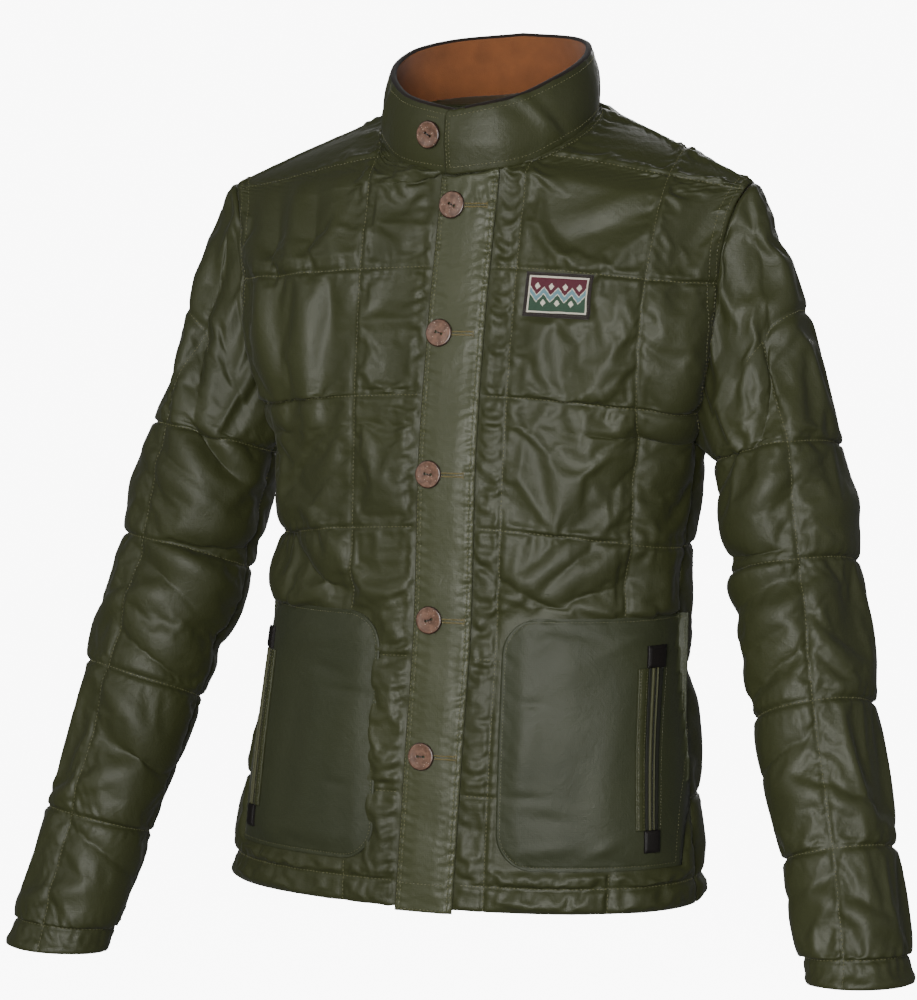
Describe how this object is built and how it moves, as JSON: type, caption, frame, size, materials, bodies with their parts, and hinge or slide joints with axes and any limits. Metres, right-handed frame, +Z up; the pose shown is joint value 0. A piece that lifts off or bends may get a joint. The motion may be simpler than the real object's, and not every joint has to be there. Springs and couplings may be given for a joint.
{
  "type": "quilted jacket",
  "caption": "Hip-length quilted jacket with a stand collar, buttoned placket, patch pockets with side zips and long sleeves, hollow and held in its worn pose.",
  "frame": {"origin": "middle of the neck, level with the high points of the shoulders", "axes": "+Z up the wearer's back, -Y to the wearer's front, +X to the wearer's left"},
  "size_m": [0.8032, 0.2706, 0.7879],
  "materials": {
    "quilted_nylon": "satin, quilted over wadding",
    "pocket_cloth": "satin, not quilted",
    "suede_lining": "brushed suede-like nap, matt",
    "coconut_shell": "polished coconut shell, satin",
    "zip_tape": "matt woven tape",
    "dark_leather": "matt, nearly black brown",
    "woven_patch": "woven threads, matt"
  },
  "bodies": {
    "root": {"front_left": "quilted_nylon", "front_right": "quilted_nylon", "back": "quilted_nylon", "placket": "quilted_nylon", "pocket_left": "pocket_cloth", "pocket_right": "pocket_cloth", "zip_left_tape": "zip_tape", "zip_left_welt": "quilted_nylon", "zip_left_tab_top": "dark_leather", "zip_left_tab_bottom": "dark_leather", "zip_right_tape": "zip_tape", "zip_right_welt": "quilted_nylon", "zip_right_tab_top": "dark_leather", "zip_right_tab_bottom": "dark_leather", "chest_patch": "woven_patch", "collar": "quilted_nylon", "collar_lining": "suede_lining", "collar_button": "coconut_shell", "button_1": "coconut_shell", "button_2": "coconut_shell", "button_3": "coconut_shell", "button_4": "coconut_shell", "button_5": "coconut_shell", "sleeve_left_top": "quilted_nylon", "sleeve_left_under": "quilted_nylon", "sleeve_right_top": "quilted_nylon", "sleeve_right_under": "quilted_nylon"}
  },
  "joints": []
}
